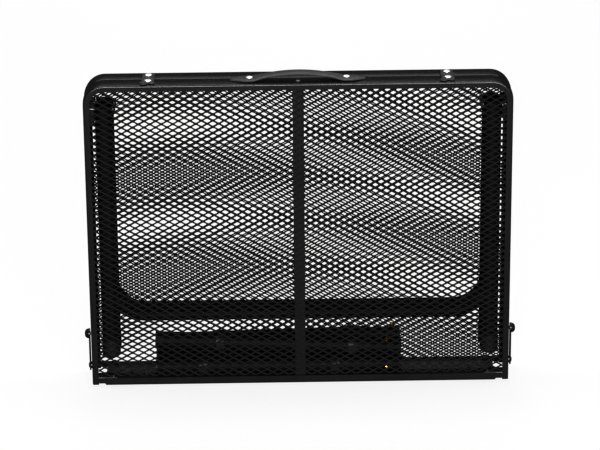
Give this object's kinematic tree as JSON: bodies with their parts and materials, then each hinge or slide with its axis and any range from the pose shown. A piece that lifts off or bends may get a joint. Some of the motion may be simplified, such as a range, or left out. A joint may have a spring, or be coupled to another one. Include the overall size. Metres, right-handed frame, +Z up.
{
  "type": "folding camping table",
  "caption": "Folding table with expanded-metal top, closed into a carry case with handle, latches, stowed legs and extension tubes.",
  "frame": {"origin": "Centre of the closed case's footprint, on the level its feet stand on.", "axes": "X runs along the hinge with +X to the right, +Y runs from the front half to the rear half, +Z runs up from the hinge edge to the handle."},
  "size_m": [0.6182, 0.062, 0.4674],
  "materials": {
    "powder_coat": "satin powder coat",
    "mesh_coat": "satin powder coat",
    "tube_coat": "satin powder coat",
    "hinge_coat": "satin powder coat",
    "bright_steel": "bright nickel plate",
    "zinc_grey": "dull grey plate",
    "brass": "dull brass",
    "handle_rubber": "matt",
    "black_rubber": "matt",
    "black_plastic": "matt"
  },
  "bodies": {
    "front_half": {"front_rim": "powder_coat", "front_bottom_rail": "powder_coat", "front_mesh": "mesh_coat", "front_centre_bar": "powder_coat", "front_gussets": "powder_coat", "front_gusset_screws": "bright_steel", "front_leg_bosses": "powder_coat", "front_leg_left": "tube_coat", "front_leg_right": "tube_coat", "front_cross_tube": "tube_coat", "front_leg_pivots": "zinc_grey", "front_leg_feet": "black_rubber", "front_hinge_leaf": "hinge_coat", "front_tube_clips": "black_plastic", "front_lower_tube": "tube_coat", "front_upper_tube": "tube_coat", "front_tube_plugs": "black_plastic", "front_feet": "black_rubber", "front_bar_screw": "bright_steel", "hinge_pin": "bright_steel", "handle": "handle_rubber", "handle_rivets": "bright_steel", "latch_pivots": "bright_steel", "lock_pivots": "bright_steel"},
    "rear_half": {"rear_rim": "powder_coat", "rear_bottom_rail": "powder_coat", "rear_mesh": "mesh_coat", "rear_centre_bar": "powder_coat", "rear_gussets": "powder_coat", "rear_gusset_screws": "bright_steel", "rear_leg_bosses": "powder_coat", "rear_leg_left": "tube_coat", "rear_leg_right": "tube_coat", "rear_cross_tube": "tube_coat", "rear_leg_pivots": "zinc_grey", "rear_leg_feet": "black_rubber", "rear_hinge_leaf": "hinge_coat", "rear_tube_clips": "black_plastic", "rear_lower_tube": "tube_coat", "rear_upper_tube": "tube_coat", "rear_tube_plugs": "black_plastic", "rear_feet": "black_rubber", "rear_bar_screw": "bright_steel", "latch_studs": "bright_steel"},
    "latch_turn_left": {"latch_left": "zinc_grey"},
    "latch_turn_right": {"latch_right": "zinc_grey"},
    "lock_left": {"lock_plate_left": "powder_coat", "lock_knob_left": "black_plastic"},
    "lock_right": {"lock_plate_right": "powder_coat", "lock_knob_right": "black_plastic"},
    "press_front_lower": {"button_front_lower": "brass"},
    "press_front_upper": {"button_front_upper": "brass"},
    "press_rear_lower": {"button_rear_lower": "brass"},
    "press_rear_upper": {"button_rear_upper": "brass"}
  },
  "joints": [
    {"name": "fold", "type": "hinge", "parent": "front_half", "child": "rear_half", "pos_m": [0, 0, 0.00215], "axis": [-1, 0, 0], "range_deg": [0, 180]},
    {"name": "latch_left", "type": "hinge", "parent": "front_half", "child": "latch_turn_left", "pos_m": [-0.2085, -0.018, 0.45605], "axis": [0, 0, 1], "range_deg": [0, 90]},
    {"name": "latch_right", "type": "hinge", "parent": "front_half", "child": "latch_turn_right", "pos_m": [0.2085, -0.018, 0.45605], "axis": [0, 0, 1], "range_deg": [0, 90]},
    {"name": "lock_left", "type": "hinge", "parent": "front_half", "child": "lock_left", "pos_m": [-0.30235, -0.01575, 0.02945], "axis": [1, 0, 0], "range_deg": [0, 180]},
    {"name": "lock_right", "type": "hinge", "parent": "front_half", "child": "lock_right", "pos_m": [0.30235, -0.01575, 0.02945], "axis": [1, 0, 0], "range_deg": [0, 180]},
    {"name": "press_front_lower", "type": "slide", "parent": "front_half", "child": "press_front_lower", "axis": [0, 0.9848, 0.1736], "range_m": [0, 0.003], "stiffness_N_per_m": 400},
    {"name": "press_front_upper", "type": "slide", "parent": "front_half", "child": "press_front_upper", "axis": [-0.0447, 0.1736, -0.9838], "range_m": [0, 0.003], "stiffness_N_per_m": 400},
    {"name": "press_rear_lower", "type": "slide", "parent": "rear_half", "child": "press_rear_lower", "axis": [0, -0.9848, 0.1736], "range_m": [0, 0.003], "stiffness_N_per_m": 400},
    {"name": "press_rear_upper", "type": "slide", "parent": "rear_half", "child": "press_rear_upper", "axis": [0.0227, 0, -0.9997], "range_m": [0, 0.003], "stiffness_N_per_m": 400}
  ]
}
